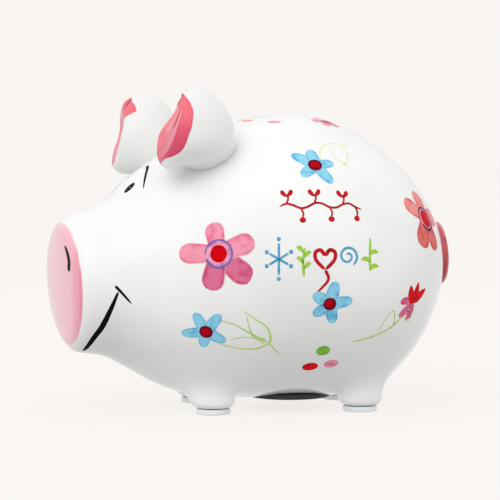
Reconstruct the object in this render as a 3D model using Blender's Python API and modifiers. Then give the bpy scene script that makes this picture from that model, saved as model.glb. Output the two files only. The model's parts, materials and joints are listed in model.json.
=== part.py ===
"""Ceramic piggy bank standing on four clear foot pads.

The head is at -X and turns a little towards -Y, which is the animal's left side. The shell is one
hollow casting with a coin slot along the back and a round hole in the belly. The ears and the tail
are separate pieces laid onto the shell. A black stopper closes the belly hole: a knob in its recess
turns a tongue that swings out over the inner edge of the shell. Metres, with +Z up.
"""
import math

import bmesh
import bpy
from mathutils import Matrix, Vector

# Body rings from the snout to the rump: station, lowest point, highest point, half width, lean.
BODY_RINGS = (
    (-0.0801, 0.0335, 0.0715, 0.0180, 4.0),
    (-0.0779, 0.0264, 0.0786, 0.0254, 4.0),
    (-0.0731, 0.0250, 0.0812, 0.0278, 3.5),
    (-0.0631, 0.0243, 0.0850, 0.0305, 2.0),
    (-0.0563, 0.0208, 0.0878, 0.0341, 1.0),
    (-0.0486, 0.0170, 0.0978, 0.0388, 0.0),
    (-0.0331, 0.0078, 0.1078, 0.0500, 0.0),
    (-0.0101, 0.0054, 0.1195, 0.0580, 0.0),
    (0.0169, 0.0054, 0.1230, 0.0605, 0.0),
    (0.0339, 0.0054, 0.1202, 0.0590, 0.0),
    (0.0529, 0.0082, 0.1098, 0.0522, 0.0),
    (0.0684, 0.0200, 0.0952, 0.0405, 0.0),
    (0.0774, 0.0390, 0.0790, 0.0235, 0.0),
    (0.0801, 0.0500, 0.0690, 0.0100, 0.0),
)
RING_ANGLES = (0.0, 9.0, 31.0, 58.0, 88.0, 118.0, 150.0, 180.0)
RING_SWELL = 1.03
TURN_START = -0.0071
TURN_END = -0.0451
HEAD_TURN = math.radians(12.0)
WALL = 0.0042
CAVITY_FIRST_RING = 5
CAVITY_FRONT = -0.0571
CAVITY_REAR = 0.0734
GAP = 0.0003

FRONT_FOOT_X = -0.0181
REAR_FOOT_X = 0.0426
FOOT_Y = 0.0205
FOOT_RADIUS = 0.0082
ANKLE_RADIUS = 0.0118
ANKLE_HEIGHT = 0.0063
FRONT_LEG_SPAN = 6
REAR_LEG_SPAN = 9
PAD_RADIUS = 0.0070
PAD_HEIGHT = 0.0023

SLOT_X = 0.0129
SLOT_LENGTH = 0.0360
SLOT_WIDTH = 0.0052

STOPPER_X = 0.0169
HOLE_RADIUS = 0.0145
FLANGE_RADIUS = 0.0175
FLANGE_BOTTOM = 0.0044
FLANGE_TOP = 0.0068
SLEEVE_RADIUS = 0.0142
SLEEVE_TOP = 0.0132
RECESS_RADIUS = 0.0118
RECESS_TOP = 0.0112
SEAT_RADIUS = 0.0179
LOCK_OFFSET = 0.0050
SHAFT_RADIUS = 0.0024
SHAFT_TOP = 0.0152
KNOB_RADIUS = 0.0056
KNOB_BOTTOM = 0.0052
COIN_GROOVE = (0.0084, 0.0018, 0.0022)
CAM_BOTTOM = 0.0135
CAM_THICKNESS = 0.0020
CAM_REACH = 0.0135
CAM_TIP_RADIUS = 0.0032
CAM_HUB_RADIUS = 0.0046
SCREW_HEAD_RADIUS = 0.0034
SCREW_HEAD_BOTTOM = 0.0158
SCREW_TOP = 0.0176
SCREW_RADIUS = 0.0008
SCREW_BOTTOM = 0.0118
BORE_RADIUS = 0.0011

EAR_STATION = -0.0306
EAR_OUT = 0.0315
EAR_BASE_Z = 0.0995
EAR_RADII = (0.0166, 0.0140, 0.0196)
EAR_CENTRE = (-0.0012, 0.0, 0.0120)
RIGHT_EAR_DROP = 0.0013
RIGHT_EAR_FORWARD = 0.0028
EAR_YAW = math.radians(4.0)
EAR_TIP_TAPER = 0.12
EAR_FACE_CENTRE = (-0.0122, 0.0, 0.0155)
EAR_FACE_LEAN = math.radians(18.0)
RIGHT_EAR_FACE_LEAN = math.radians(9.0)
EAR_FACE_BLOCK = 0.0400
EAR_GROOVE_RADII = (0.0022, 0.0078, 0.0125)

TAIL_Z = 0.0655
TAIL_OUTER = 0.0108
TAIL_INNER = 0.0030
TAIL_TURNS = 1.15
TAIL_CORD = 0.0030
TAIL_TIP_SHARE = 0.45
TAIL_ROOT_DEPTH = 0.0045
TAIL_POINTS = 22
RUMP_X = 0.0795
RUMP_CURVE = 0.0520

COLOURS = {
    "glaze": ((0.86, 0.86, 0.85), 0.08, 0.0),
    "ear_glaze": ((0.86, 0.82, 0.82), 0.08, 0.0),
    "tail_glaze": ((0.62, 0.07, 0.09), 0.10, 0.0),
    "clear_rubber": ((0.80, 0.82, 0.83), 0.35, 0.0),
    "stopper_plastic": ((0.015, 0.015, 0.016), 0.40, 0.0),
    "knob_plastic": ((0.025, 0.025, 0.027), 0.35, 0.0),
    "cam_plastic": ((0.030, 0.030, 0.032), 0.45, 0.0),
    "screw_steel": ((0.60, 0.60, 0.62), 0.30, 1.0),
}


def clear_scene():
    for obj in list(bpy.data.objects):
        bpy.data.objects.remove(obj)


def collection(name):
    found = bpy.data.collections.new(name)
    bpy.context.scene.collection.children.link(found)
    return found


def material(name):
    colour, roughness, metallic = COLOURS[name]
    made = bpy.data.materials.new(name)
    made.use_nodes = True
    shader = made.node_tree.nodes["Principled BSDF"]
    shader.inputs["Base Color"].default_value = (*colour, 1.0)
    shader.inputs["Roughness"].default_value = roughness
    shader.inputs["Metallic"].default_value = metallic
    return made


def add_object(name, mesh, group, slot=None):
    obj = bpy.data.objects.new(name, mesh)
    group.objects.link(obj)
    if slot:
        mesh.materials.append(material(slot))
    return obj


def mesh_from(bm, name, smooth=True):
    bmesh.ops.recalc_face_normals(bm, faces=bm.faces)
    for face in bm.faces:
        face.smooth = smooth
    mesh = bpy.data.meshes.new(name)
    bm.to_mesh(mesh)
    bm.free()
    return mesh


def as_cutter(obj):
    obj.hide_render = True
    obj.display_type = "WIRE"
    return obj


def cut(obj, cutter, name):
    modifier = obj.modifiers.new(name, "BOOLEAN")
    modifier.operation = "DIFFERENCE"
    modifier.solver = "EXACT"
    modifier.object = cutter


def subdivide(obj, levels):
    modifier = obj.modifiers.new("round", "SUBSURF")
    modifier.levels = levels
    modifier.render_levels = levels


def spine_frame(station):
    """Point on the spine and heading angle there: straight behind TURN_START, turned before it."""
    step = 0.0005
    x = TURN_START
    y = 0.0
    heading = 0.0
    if station >= TURN_START:
        return station, 0.0, 0.0
    while x > TURN_START - (TURN_START - station) and heading < HEAD_TURN:
        share = (TURN_START - x) / (TURN_START - TURN_END)
        heading = HEAD_TURN * share * share * (3.0 - 2.0 * share)
        x -= step
        y -= step * math.tan(heading)
        if x <= TURN_END:
            heading = HEAD_TURN
    rest = max(0.0, x - station)
    return x - rest * math.cos(heading), y - rest * math.sin(heading), heading


def spine_point(station, side, height, lean=0.0):
    """World point at a station along the spine, a distance to the side and a height."""
    x, y, heading = spine_frame(station)
    x -= lean * math.cos(heading)
    y -= lean * math.sin(heading)
    return Vector((x - side * math.sin(heading), y + side * math.cos(heading), height))


def ring_points(ring, inset):
    station, low, high, half, lean = ring
    middle = (low + high) / 2.0
    tall = ((high - low) / 2.0 - inset) * RING_SWELL
    wide = (half - inset) * RING_SWELL
    points = []
    angles = [math.radians(a) for a in RING_ANGLES]
    angles += [-a for a in reversed(angles[1:-1])]
    for angle in angles:
        rise = -tall * math.cos(angle)
        shift = rise * math.tan(math.radians(lean))
        points.append(spine_point(station, wide * math.sin(angle), middle + rise, shift))
    return points


def ring_cage(rings, inset):
    """Quad cage through the rings, closed at both ends by an n-gon. Returns it with its faces by
    span and by step round the ring."""
    bm = bmesh.new()
    loops = [[bm.verts.new(p) for p in ring_points(ring, inset)] for ring in rings]
    count = len(loops[0])
    spans = []
    for fore, aft in zip(loops, loops[1:]):
        spans.append([
            bm.faces.new((fore[i], fore[(i + 1) % count], aft[(i + 1) % count], aft[i]))
            for i in range(count)
        ])
    bm.faces.new(loops[0])
    bm.faces.new(loops[-1])
    return bm, spans


def pull_leg(bm, face, centre_x, centre_y):
    """Draws one foot down out of a belly face and closes it with a flat sole."""
    sole = PAD_HEIGHT + GAP
    for height, radius in ((ANKLE_HEIGHT, ANKLE_RADIUS), (sole, FOOT_RADIUS)):
        face = bmesh.ops.extrude_discrete_faces(bm, faces=[face])["faces"][0]
        middle = face.calc_center_median()
        for vert in face.verts:
            away_x = math.copysign(radius, vert.co.x - middle.x)
            away_y = math.copysign(radius, vert.co.y - middle.y)
            vert.co = Vector((centre_x + away_x, centre_y + away_y, height))
    bmesh.ops.inset_individual(bm, faces=[face], thickness=FOOT_RADIUS * 0.22)


def outer_cage():
    bm, spans = ring_cage(BODY_RINGS, 0.0)
    count = len(spans[0])
    for span, x in ((FRONT_LEG_SPAN, FRONT_FOOT_X), (REAR_LEG_SPAN, REAR_FOOT_X)):
        pull_leg(bm, spans[span][1], x, FOOT_Y)
        pull_leg(bm, spans[span][count - 2], x, -FOOT_Y)
    return bm


def cavity_rings():
    rings = []
    inner = BODY_RINGS[CAVITY_FIRST_RING:-1]
    for station, low, high, half, lean in inner:
        rings.append((station, low + WALL, high - WALL, half - WALL, 0.0))
    first = inner[0]
    rings.insert(0, (CAVITY_FRONT, first[1] + 0.018, first[2] - 0.018, first[3] * 0.5, 0.0))
    rings.append((CAVITY_REAR, 0.0440, 0.0820, 0.0200, 0.0))
    return rings


def box_cutter(name, size, centre, group, round_by=0.0):
    bm = bmesh.new()
    bmesh.ops.create_cube(bm, size=1.0)
    bmesh.ops.scale(bm, vec=Vector(size), verts=bm.verts)
    if round_by:
        upright = [e for e in bm.edges if abs(e.verts[0].co.z - e.verts[1].co.z) > size[2] / 2]
        bmesh.ops.bevel(bm, geom=upright, offset=round_by, segments=4, affect="EDGES", profile=0.5)
    bmesh.ops.translate(bm, vec=Vector(centre), verts=bm.verts)
    return as_cutter(add_object(name, mesh_from(bm, name, False), group))


def drum_cutter(name, radius, low, high, x, y, group, segments=40):
    bm = bmesh.new()
    bmesh.ops.create_cone(
        bm, cap_ends=True, segments=segments, radius1=radius, radius2=radius, depth=high - low
    )
    bmesh.ops.translate(bm, vec=Vector((x, y, (low + high) / 2.0)), verts=bm.verts)
    return as_cutter(add_object(name, mesh_from(bm, name, False), group))


def turned(name, profile, x, y, steps, group, slot):
    """Solid of revolution. The profile runs from the axis at the top, down the outside, back in."""
    bm = bmesh.new()
    verts = [bm.verts.new((radius, 0.0, height)) for radius, height in profile]
    for first, second in zip(verts, verts[1:]):
        bm.edges.new((first, second))
    mesh = bpy.data.meshes.new(name)
    bm.to_mesh(mesh)
    bm.free()
    obj = add_object(name, mesh, group, slot)
    obj.location = (x, y, 0.0)
    screw = obj.modifiers.new("turn", "SCREW")
    screw.steps = steps
    screw.render_steps = steps
    screw.use_merge_vertices = True
    screw.merge_threshold = 0.00001
    screw.use_smooth_shade = False
    return obj


def body_blank(name, swell, levels, group):
    """Solid outer form of the body, with its skin pushed out by swell."""
    blank = as_cutter(add_object(name, mesh_from(outer_cage(), name), group))
    subdivide(blank, levels)
    push = blank.modifiers.new("push", "DISPLACE")
    push.strength = swell
    push.mid_level = 0.0
    return blank


def body_shell(parts, helpers):
    shell = add_object("body_shell", mesh_from(outer_cage(), "body_shell"), parts, "glaze")
    subdivide(shell, 2)
    bm, _ = ring_cage(cavity_rings(), 0.0)
    cavity = as_cutter(add_object("cavity", mesh_from(bm, "cavity"), helpers))
    subdivide(cavity, 1)
    cut(shell, cavity, "hollow")
    slot = box_cutter(
        "coin_slot", (SLOT_LENGTH, SLOT_WIDTH, 0.030), (SLOT_X, 0.0, 0.120), helpers,
        SLOT_WIDTH * 0.45,
    )
    cut(shell, slot, "slot")
    hole = drum_cutter("belly_hole", HOLE_RADIUS, -0.002, 0.026, STOPPER_X, 0.0, helpers)
    cut(shell, hole, "hole")
    seat = drum_cutter(
        "flange_seat", SEAT_RADIUS, -0.004, FLANGE_TOP + GAP, STOPPER_X, 0.0, helpers
    )
    cut(shell, seat, "seat")
    return shell


def ear(name, side, blank, parts, helpers):
    """Egg-shaped hood with a flat leaning face and a shallow hollow in it; side is 1 at +Y."""
    drop = RIGHT_EAR_DROP if side > 0 else 0.0
    station = EAR_STATION - (RIGHT_EAR_FORWARD if side > 0 else 0.0)
    place = spine_point(station, side * EAR_OUT, EAR_BASE_Z - drop)
    heading = spine_frame(EAR_STATION)[2]
    stand = Matrix.Translation(place) @ Matrix.Rotation(heading - side * EAR_YAW, 4, "Z")
    bm = bmesh.new()
    bmesh.ops.create_uvsphere(bm, u_segments=22, v_segments=14, radius=1.0)
    for vert in bm.verts:
        narrow = 1.0 - EAR_TIP_TAPER * max(vert.co.z, 0.0) ** 2
        scale = Vector((EAR_RADII[0] * narrow, EAR_RADII[1] * narrow, EAR_RADII[2]))
        vert.co = vert.co * scale + Vector(EAR_CENTRE)
    bmesh.ops.transform(bm, matrix=stand, verts=bm.verts)
    obj = add_object(name, mesh_from(bm, name), parts, "ear_glaze")
    lean = RIGHT_EAR_FACE_LEAN if side > 0 else EAR_FACE_LEAN
    face = stand @ Matrix.Translation(EAR_FACE_CENTRE) @ Matrix.Rotation(lean, 4, "Y")
    bm = bmesh.new()
    bmesh.ops.create_cube(bm, size=EAR_FACE_BLOCK)
    shift = Matrix.Translation((-EAR_FACE_BLOCK / 2.0, 0.0, 0.0))
    bmesh.ops.transform(bm, matrix=face @ shift, verts=bm.verts)
    block = as_cutter(add_object(name + "_face", mesh_from(bm, name + "_face"), helpers))
    cut(obj, block, "face")
    bm = bmesh.new()
    bmesh.ops.create_uvsphere(bm, u_segments=20, v_segments=12, radius=1.0)
    bmesh.ops.scale(bm, vec=Vector(EAR_GROOVE_RADII), verts=bm.verts)
    bmesh.ops.transform(bm, matrix=face, verts=bm.verts)
    groove = as_cutter(add_object(name + "_groove", mesh_from(bm, name + "_groove"), helpers))
    cut(obj, groove, "groove")
    cut(obj, blank, "base")
    return obj


def tail(blank, parts):
    """Cord coiled flat against the rump, thinning towards its inner end."""
    curve = bpy.data.curves.new("tail_path", "CURVE")
    curve.dimensions = "3D"
    curve.resolution_u = 3
    curve.bevel_depth = TAIL_CORD
    curve.bevel_resolution = 3
    curve.use_fill_caps = True
    spline = curve.splines.new("NURBS")
    spline.points.add(TAIL_POINTS - 1)
    for i, point in enumerate(spline.points):
        share = i / (TAIL_POINTS - 1)
        angle = -math.pi / 2.0 + share * TAIL_TURNS * 2.0 * math.pi
        radius = TAIL_OUTER + (TAIL_INNER - TAIL_OUTER) * share
        y = radius * math.cos(angle)
        z = radius * math.sin(angle)
        drop = RUMP_CURVE - math.sqrt(RUMP_CURVE ** 2 - y * y - z * z)
        sunk = TAIL_ROOT_DEPTH if i == 0 else 0.0
        point.co = (RUMP_X - drop + TAIL_CORD * 0.45 - sunk, y, TAIL_Z + z, 1.0)
        point.radius = 1.0 - (1.0 - TAIL_TIP_SHARE) * share
    spline.points[-1].radius = TAIL_TIP_SHARE * 0.4
    spline.use_endpoint_u = True
    spline.order_u = 4
    guide = bpy.data.objects.new("tail_guide", curve)
    bpy.context.scene.collection.objects.link(guide)
    mesh = bpy.data.meshes.new_from_object(guide.evaluated_get(bpy.context.evaluated_depsgraph_get()))
    bpy.data.objects.remove(guide)
    bm = bmesh.new()
    bm.from_mesh(mesh)
    bmesh.ops.remove_doubles(bm, verts=bm.verts, dist=0.00001)
    obj = add_object("tail", mesh_from(bm, "tail"), parts, "tail_glaze")
    cut(obj, blank, "base")
    return obj


def foot_pads(parts):
    places = (
        ("foot_pad_front_left", FRONT_FOOT_X, -FOOT_Y),
        ("foot_pad_front_right", FRONT_FOOT_X, FOOT_Y),
        ("foot_pad_rear_left", REAR_FOOT_X, -FOOT_Y),
        ("foot_pad_rear_right", REAR_FOOT_X, FOOT_Y),
    )
    edge = 0.0005
    profile = (
        (0.0, PAD_HEIGHT),
        (PAD_RADIUS - edge, PAD_HEIGHT),
        (PAD_RADIUS, PAD_HEIGHT - edge),
        (PAD_RADIUS, edge),
        (PAD_RADIUS - edge, 0.0),
        (0.0, 0.0),
    )
    for name, x, y in places:
        turned(name, profile, x, y, 28, parts, "clear_rubber")


def stopper_body(parts, helpers):
    edge = 0.0005
    profile = (
        (0.0, SLEEVE_TOP),
        (SLEEVE_RADIUS - 2 * edge, SLEEVE_TOP),
        (SLEEVE_RADIUS, SLEEVE_TOP - 2 * edge),
        (SLEEVE_RADIUS, FLANGE_TOP),
        (FLANGE_RADIUS - edge, FLANGE_TOP),
        (FLANGE_RADIUS, FLANGE_TOP - edge),
        (FLANGE_RADIUS, FLANGE_BOTTOM + edge),
        (FLANGE_RADIUS - edge, FLANGE_BOTTOM),
        (RECESS_RADIUS + edge, FLANGE_BOTTOM),
        (RECESS_RADIUS, FLANGE_BOTTOM + edge),
        (RECESS_RADIUS, RECESS_TOP),
        (0.0, RECESS_TOP),
    )
    obj = turned("stopper_body", profile, STOPPER_X, 0.0, 40, parts, "stopper_plastic")
    hole = drum_cutter(
        "shaft_hole", SHAFT_RADIUS + GAP, RECESS_TOP - 0.002, SLEEVE_TOP + 0.002,
        STOPPER_X + LOCK_OFFSET, 0.0, helpers, 20,
    )
    cut(obj, hole, "shaft")


def lock_knob(parts, helpers):
    x = STOPPER_X + LOCK_OFFSET
    edge = 0.0004
    knob_top = RECESS_TOP - GAP
    profile = (
        (0.0, SHAFT_TOP),
        (SHAFT_RADIUS, SHAFT_TOP),
        (SHAFT_RADIUS, knob_top),
        (KNOB_RADIUS, knob_top),
        (KNOB_RADIUS, KNOB_BOTTOM + edge),
        (KNOB_RADIUS - edge, KNOB_BOTTOM),
        (0.0, KNOB_BOTTOM),
    )
    obj = turned("lock_knob", profile, x, 0.0, 28, parts, "knob_plastic")
    groove = box_cutter(
        "coin_groove", (COIN_GROOVE[0], COIN_GROOVE[1], 2 * COIN_GROOVE[2]),
        (x, 0.0, KNOB_BOTTOM), helpers,
    )
    cut(obj, groove, "groove")
    bore = drum_cutter(
        "screw_bore", BORE_RADIUS, SCREW_BOTTOM - GAP, SHAFT_TOP + 0.002, x, 0.0, helpers, 14
    )
    cut(obj, bore, "bore")


def lock_cam(parts, helpers):
    """Flat tongue pointing to -X from its hub, so that it stays within the round hole."""
    x = STOPPER_X + LOCK_OFFSET
    bm = bmesh.new()
    outline = []
    for step in range(13):
        angle = math.radians(-90.0 + 15.0 * step)
        outline.append((CAM_HUB_RADIUS * math.cos(angle), CAM_HUB_RADIUS * math.sin(angle)))
    tip = CAM_REACH - CAM_TIP_RADIUS
    for step in range(9):
        angle = math.radians(90.0 + 22.5 * step)
        outline.append((CAM_TIP_RADIUS * math.cos(angle) - tip, CAM_TIP_RADIUS * math.sin(angle)))
    face = bm.faces.new([bm.verts.new((x + px, py, CAM_BOTTOM)) for px, py in outline])
    made = bmesh.ops.extrude_face_region(bm, geom=[face])
    raised = [v for v in made["geom"] if isinstance(v, bmesh.types.BMVert)]
    bmesh.ops.translate(bm, vec=Vector((0.0, 0.0, CAM_THICKNESS)), verts=raised)
    obj = add_object("lock_cam", mesh_from(bm, "lock_cam", False), parts, "cam_plastic")
    eye = drum_cutter(
        "cam_eye", SHAFT_RADIUS + GAP, CAM_BOTTOM - 0.002, CAM_BOTTOM + 0.004, x, 0.0, helpers, 20
    )
    cut(obj, eye, "eye")


def lock_screw(parts, helpers):
    x = STOPPER_X + LOCK_OFFSET
    edge = 0.0005
    profile = (
        (0.0, SCREW_TOP),
        (SCREW_HEAD_RADIUS - edge, SCREW_TOP),
        (SCREW_HEAD_RADIUS, SCREW_TOP - edge),
        (SCREW_HEAD_RADIUS, SCREW_HEAD_BOTTOM),
        (SCREW_RADIUS, SCREW_HEAD_BOTTOM),
        (SCREW_RADIUS, SCREW_BOTTOM),
        (0.0, SCREW_BOTTOM),
    )
    obj = turned("lock_screw", profile, x, 0.0, 20, parts, "screw_steel")
    for name, size in (("cross_a", (0.0044, 0.0008, 0.0016)), ("cross_b", (0.0008, 0.0044, 0.0016))):
        cut(obj, box_cutter(name, size, (x, 0.0, SCREW_TOP), helpers), name)


def main():
    clear_scene()
    parts = collection("piggy_bank")
    helpers = collection("helpers")
    body_shell(parts, helpers)
    blank = body_blank("laid_on_form", GAP, 2, helpers)
    ear("ear_left", -1, blank, parts, helpers)
    ear("ear_right", 1, blank, parts, helpers)
    tail(blank, parts)
    foot_pads(parts)
    stopper_body(parts, helpers)
    lock_knob(parts, helpers)
    lock_cam(parts, helpers)
    lock_screw(parts, helpers)


main()
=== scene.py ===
import json
import math

import bmesh
import bpy
from mathutils import Matrix, Vector
from mathutils.bvhtree import BVHTree

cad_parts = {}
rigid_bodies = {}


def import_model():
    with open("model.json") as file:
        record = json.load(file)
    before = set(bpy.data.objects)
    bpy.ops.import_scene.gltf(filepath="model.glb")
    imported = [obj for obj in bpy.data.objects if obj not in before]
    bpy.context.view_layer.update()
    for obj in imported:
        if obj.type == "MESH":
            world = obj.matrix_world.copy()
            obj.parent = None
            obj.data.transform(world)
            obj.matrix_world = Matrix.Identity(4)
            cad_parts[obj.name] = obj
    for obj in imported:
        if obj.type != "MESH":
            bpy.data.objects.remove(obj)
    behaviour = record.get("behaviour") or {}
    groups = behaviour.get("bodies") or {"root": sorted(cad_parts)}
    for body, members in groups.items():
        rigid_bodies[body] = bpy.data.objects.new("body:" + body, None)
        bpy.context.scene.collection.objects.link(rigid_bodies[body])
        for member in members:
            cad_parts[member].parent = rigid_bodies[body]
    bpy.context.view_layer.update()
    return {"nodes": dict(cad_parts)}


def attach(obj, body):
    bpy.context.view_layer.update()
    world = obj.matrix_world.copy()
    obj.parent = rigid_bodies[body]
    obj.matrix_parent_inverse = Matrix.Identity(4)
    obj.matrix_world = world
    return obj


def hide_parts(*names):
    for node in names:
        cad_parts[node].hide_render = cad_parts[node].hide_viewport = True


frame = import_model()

mm = 0.001
print("frame loaded:", len(frame["nodes"]), "nodes")


# picking and editing

def pick(*objects):
    if bpy.context.mode != "OBJECT":
        bpy.ops.object.mode_set(mode="OBJECT")
    bpy.ops.object.select_all(action="DESELECT")
    for thing in objects:
        thing.select_set(True)
    bpy.context.view_layer.objects.active = objects[0]
    return objects[0]


def edit(thing, kind="VERT"):
    pick(thing)
    bpy.ops.object.mode_set(mode="EDIT")
    bpy.ops.mesh.select_mode(type=kind)
    bpy.ops.mesh.select_all(action="DESELECT")
    return bmesh.from_edit_mesh(thing.data)


def leaveEdit(thing):
    bpy.ops.mesh.select_all(action="SELECT")
    bpy.ops.mesh.normals_make_consistent(inside=False)
    bpy.ops.object.mode_set(mode="OBJECT")
    return thing


def modify(thing, kind, **settings):
    pick(thing)
    added = thing.modifiers.new(kind.lower(), kind)
    for key, value in settings.items():
        setattr(added, key, value)
    bpy.ops.object.modifier_apply(modifier=added.name)
    return thing


def rounder(thing, levels):
    return modify(thing, "SUBSURF", levels=levels, render_levels=levels)


def cutAway(thing, cutter):
    modify(thing, "BOOLEAN", operation="DIFFERENCE", solver="EXACT", object=cutter)
    bpy.data.objects.remove(cutter)
    return thing


def smoothed(thing, degrees=180):
    pick(thing)
    if degrees < 180:
        bpy.ops.object.shade_smooth_by_angle(angle=math.radians(degrees))
    else:
        bpy.ops.object.shade_smooth()
    return thing


def settled(thing):
    pick(thing)
    bpy.ops.object.transform_apply(location=True, rotation=True, scale=True)
    return thing


def dress(thing, finish):
    thing.data.materials.clear()
    thing.data.materials.append(finish.material)
    return thing


def ringStack(name, loops):
    # a filled circle, drawn on from one ring of points to the next and closed at both ends
    bpy.ops.mesh.primitive_circle_add(vertices=len(loops[0]), radius=0.01, fill_type="NGON")
    thing = bpy.context.object
    thing.name = name
    bm = edit(thing, "FACE")
    for vert, point in zip(bm.verts, loops[0]):
        vert.co = point
    bpy.ops.mesh.select_all(action="SELECT")
    for last, ring in zip(loops, loops[1:]):
        bmesh.update_edit_mesh(thing.data)
        bpy.ops.mesh.extrude_region_move()
        bm = bmesh.from_edit_mesh(thing.data)
        moved = [vert for vert in bm.verts if vert.select]
        for point, target in zip(last, ring):
            vert = min(moved, key=lambda v: (v.co - point).length)
            moved.remove(vert)
            vert.co = target
    bmesh.update_edit_mesh(thing.data)
    return leaveEdit(thing)


# finishes

class Wire:
    def __init__(self, finish, socket):
        self.finish = finish
        self.socket = socket

    def maths(self, operation, first, second, clamp=False):
        return self.finish.node("ShaderNodeMath", {"operation": operation, "use_clamp": clamp},
                                {0: first, 1: second})

    def __add__(self, other):
        return self.maths("ADD", self, other)

    def __radd__(self, other):
        return self.maths("ADD", other, self)

    def __sub__(self, other):
        return self.maths("SUBTRACT", self, other)

    def __rsub__(self, other):
        return self.maths("SUBTRACT", other, self)

    def __mul__(self, other):
        return self.maths("MULTIPLY", self, other)

    def __rmul__(self, other):
        return self.maths("MULTIPLY", other, self)

    def __truediv__(self, other):
        return self.maths("DIVIDE", self, other)

    def __pow__(self, other):
        return self.maths("POWER", self, other)

    def __abs__(self):
        return self.maths("ABSOLUTE", self, 0.0)

    def above(self, low, high):
        # 0 below low, 1 past high, smooth between
        return self.finish.node("ShaderNodeMapRange", {"interpolation_type": "SMOOTHSTEP"},
                                {"Value": self, "From Min": low, "From Max": high})


class Finish:
    def __init__(self, name, **sockets):
        self.material = bpy.data.materials.new(name)
        self.material.use_nodes = True
        self.tree = self.material.node_tree
        self.shader = self.tree.nodes["Principled BSDF"]
        for key, value in sockets.items():
            self.shader.inputs[key.replace("_", " ")].default_value = value

    def node(self, kind, settings=None, values=None, out=0):
        made = self.tree.nodes.new(kind)
        for key, value in (settings or {}).items():
            setattr(made, key, value)
        for key, value in (values or {}).items():
            if isinstance(value, Wire):
                self.tree.links.new(value.socket, made.inputs[key])
            else:
                made.inputs[key].default_value = value
        return Wire(self, made.outputs[out])

    def place(self):
        return self.node("ShaderNodeTexCoord", out="Object")

    def vector(self, operation, first, second, out=0):
        return self.node("ShaderNodeVectorMath", {"operation": operation}, {0: first, 1: second},
                         out)

    def along(self, start, axis):
        # distance of the surface point from start, measured along axis
        return self.vector("DOT_PRODUCT", self.vector("SUBTRACT", self.place(), start), axis,
                           "Value")

    def noise(self, scale, detail=2.0, vector=None, stretch=None):
        vector = vector or self.place()
        if stretch:
            vector = self.vector("MULTIPLY", vector, stretch)
        return self.node("ShaderNodeTexNoise", None,
                         {"Vector": vector, "Scale": scale, "Detail": detail}, "Fac")

    def blend(self, share, first, second):
        return self.node("ShaderNodeMix", {"data_type": "RGBA"}, {0: share, 6: first, 7: second},
                         2)

    def feed(self, socket, wire):
        self.tree.links.new(wire.socket, self.shader.inputs[socket])

    def ripple(self, height, strength, distance):
        self.feed("Normal", self.node("ShaderNodeBump", None, {
            "Height": height, "Strength": strength, "Distance": distance}))


def tone(red, green, blue):
    # a colour as a paint chart gives it, made linear
    return tuple(((c / 255 + 0.055) / 1.055) ** 2.4 if c > 10 else c / 3295
                 for c in (red, green, blue)) + (1.0,)


glazeLook = {"white": tone(240, 240, 238), "shade": tone(235, 235, 233), "coat": 0.6,
             "paintShine": 0.02, "roughness": 0.16, "coatRoughness": 0.04, "wave": 0.05}


def glaze(name):
    made = Finish(name, Roughness=glazeLook["roughness"], Coat_Weight=glazeLook["coat"],
                  Coat_Roughness=glazeLook["coatRoughness"])
    cloud = made.noise(28.0).above(0.35, 0.65)
    made.white = made.blend(cloud, glazeLook["white"], glazeLook["shade"])
    made.ripple(made.noise(55.0, 1.0), glazeLook["wave"], 0.0012)
    made.feed("Roughness", made.noise(120.0) * 0.06 + (glazeLook["roughness"] - 0.03))
    return made


# body of the pig

body = {
    # rings from snout to rump: place on the spine, lowest, highest, half width, lean in degrees
    "rings": (
        (-0.0801, 0.0335, 0.0715, 0.0180, 4.0), (-0.0779, 0.0264, 0.0786, 0.0254, 4.0),
        (-0.0731, 0.0250, 0.0812, 0.0278, 3.5), (-0.0631, 0.0243, 0.0850, 0.0305, 2.0),
        (-0.0563, 0.0208, 0.0878, 0.0341, 1.0), (-0.0486, 0.0170, 0.0978, 0.0388, 0.0),
        (-0.0331, 0.0078, 0.1078, 0.0500, 0.0), (-0.0101, 0.0054, 0.1195, 0.0580, 0.0),
        (0.0169, 0.0054, 0.1230, 0.0605, 0.0), (0.0339, 0.0054, 0.1202, 0.0590, 0.0),
        (0.0529, 0.0088, 0.1098, 0.0522, 0.0), (0.0684, 0.0216, 0.0952, 0.0405, 0.0),
        (0.0774, 0.0414, 0.0790, 0.0235, 0.0), (0.0801, 0.0516, 0.0690, 0.0100, 0.0)),
    "angles": (0.0, 9.0, 31.0, 58.0, 88.0, 118.0, 150.0, 180.0),
    "swell": 1.028,
    "turnStart": -0.0071, "turnEnd": -0.0451, "headTurn": math.radians(12.0),
    "wall": 0.0042, "cavityRing": 5, "cavityFront": -0.0571, "cavityRear": 0.0734,
    "legs": ((6, -0.0181), (9, 0.0426)), "footY": 0.0205,
    "ankle": (0.0046, 0.0104, 0.0100), "sole": (0.0026, 0.0080, 0.0080),
    # slot: place, length, width, middle height, depth, share of the width that is rounded
    "slot": (0.0129, 0.0360, 0.0052, 0.120, 0.030, 0.45),
    # hole and the shallow seat round it: radius, bottom and top of the cutter
    "holeX": 0.0169, "hole": (0.0145, -0.002, 0.026), "seat": (0.0179, -0.004, 0.0071),
}


def spine(station):
    # point on the spine and its heading: straight to the rear, turned towards -Y in the head
    step = 0.0005
    x, y, heading = body["turnStart"], 0.0, 0.0
    if station >= x:
        return station, 0.0, 0.0
    while x > station and heading < body["headTurn"]:
        share = (body["turnStart"] - x) / (body["turnStart"] - body["turnEnd"])
        heading = body["headTurn"] * share * share * (3.0 - 2.0 * share)
        x -= step
        y -= step * math.tan(heading)
        if x <= body["turnEnd"]:
            heading = body["headTurn"]
    rest = max(0.0, x - station)
    return x - rest * math.cos(heading), y - rest * math.sin(heading), heading


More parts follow.
